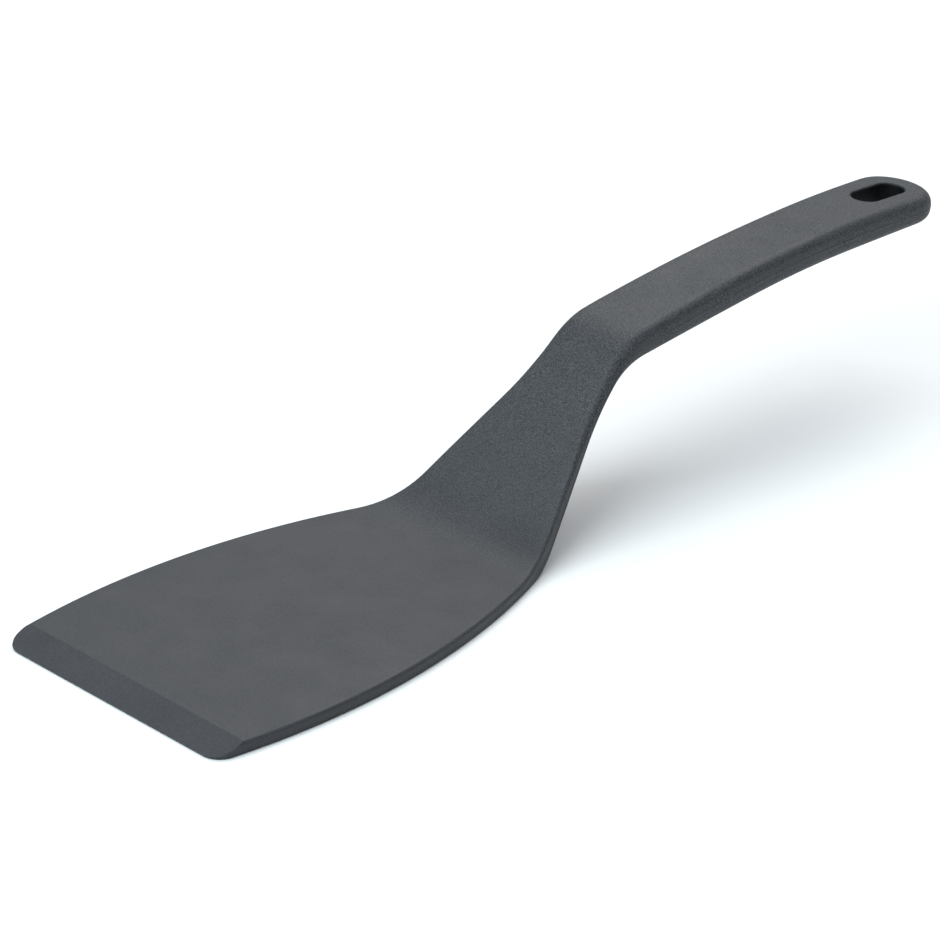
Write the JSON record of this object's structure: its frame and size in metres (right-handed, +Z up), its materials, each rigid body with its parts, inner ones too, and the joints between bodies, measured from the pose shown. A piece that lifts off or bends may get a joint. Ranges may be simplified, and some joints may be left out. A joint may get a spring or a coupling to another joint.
{
  "type": "grill spatula",
  "caption": "Turner for a grill or pan: flat bevelled blade, cranked neck and arched handle with a hanging slot, moulded in silicone over a steel and nylon core",
  "frame": {"origin": "on the plane that the blade's flat underside rests on, below the middle of the spatula's box", "axes": "+X runs from the scraping edge of the blade to the end of the handle, +Y across the blade, +Z up from the blade's underside"},
  "size_m": [0.32, 0.0862, 0.0578],
  "materials": {
    "silicone": "matte, finely spark-eroded grain",
    "stainless_sheet": "brushed along its length",
    "glass_filled_nylon": "matte, faintly mottled by the glass fibre",
    "rivet_steel": "turned, satin"
  },
  "bodies": {
    "root": {"silicone_skin": "silicone", "steel_core": "stainless_sheet", "handle_core_upper": "glass_filled_nylon", "handle_core_lower": "glass_filled_nylon", "core_rivet_front": "rivet_steel", "core_rivet_middle": "rivet_steel", "core_rivet_rear": "rivet_steel"}
  },
  "joints": []
}
